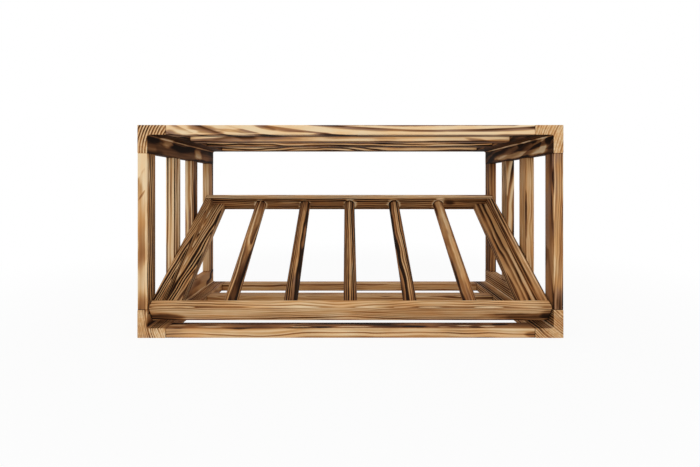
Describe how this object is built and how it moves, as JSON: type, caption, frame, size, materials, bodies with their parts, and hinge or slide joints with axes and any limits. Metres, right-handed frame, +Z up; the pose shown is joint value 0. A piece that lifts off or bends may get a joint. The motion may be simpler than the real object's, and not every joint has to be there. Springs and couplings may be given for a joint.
{
  "type": "wine rack",
  "caption": "Open slatted wooden box with a sloping tray of round rods that holds wine bottles lying side by side, necks up at the back.",
  "frame": {"origin": "middle of the box's footprint, on the surface that the rack stands on", "axes": "+X to the right seen from the front, +Y to the back, +Z up"},
  "size_m": [0.6, 0.3, 0.3],
  "materials": {
    "flamed_wood": "flame-scorched pine, brushed and oiled",
    "tray_wood": "flame-scorched pine, brushed and oiled",
    "rod_wood": "flame-scorched round pine, oiled",
    "dowel_wood": "plain beech",
    "screw_steel": "zinc plated, yellow passivated"
  },
  "bodies": {
    "root": {"top_left_corner_rail": "flamed_wood", "top_right_corner_rail": "flamed_wood", "bottom_left_corner_rail": "flamed_wood", "bottom_right_corner_rail": "flamed_wood", "top_slat_1": "flamed_wood", "top_slat_2": "flamed_wood", "top_slat_3": "flamed_wood", "top_slat_4": "flamed_wood", "bottom_slat_1": "flamed_wood", "bottom_slat_2": "flamed_wood", "bottom_slat_3": "flamed_wood", "bottom_slat_4": "flamed_wood", "left_slat_1": "flamed_wood", "left_slat_2": "flamed_wood", "left_slat_3": "flamed_wood", "left_slat_4": "flamed_wood", "right_slat_1": "flamed_wood", "right_slat_2": "flamed_wood", "right_slat_3": "flamed_wood", "right_slat_4": "flamed_wood", "tray_front_rail": "tray_wood", "tray_back_rail": "tray_wood", "tray_left_rail": "tray_wood", "tray_right_rail": "tray_wood", "bottle_rod_1": "rod_wood", "bottle_rod_2": "rod_wood", "bottle_rod_3": "rod_wood", "bottle_rod_4": "rod_wood", "bottle_rod_5": "rod_wood", "top_slat_dowels": "dowel_wood", "bottom_slat_dowels": "dowel_wood", "left_slat_dowels": "dowel_wood", "right_slat_dowels": "dowel_wood", "tray_corner_dowels": "dowel_wood", "tray_screws_left": "screw_steel", "tray_screws_right": "screw_steel"}
  },
  "joints": []
}
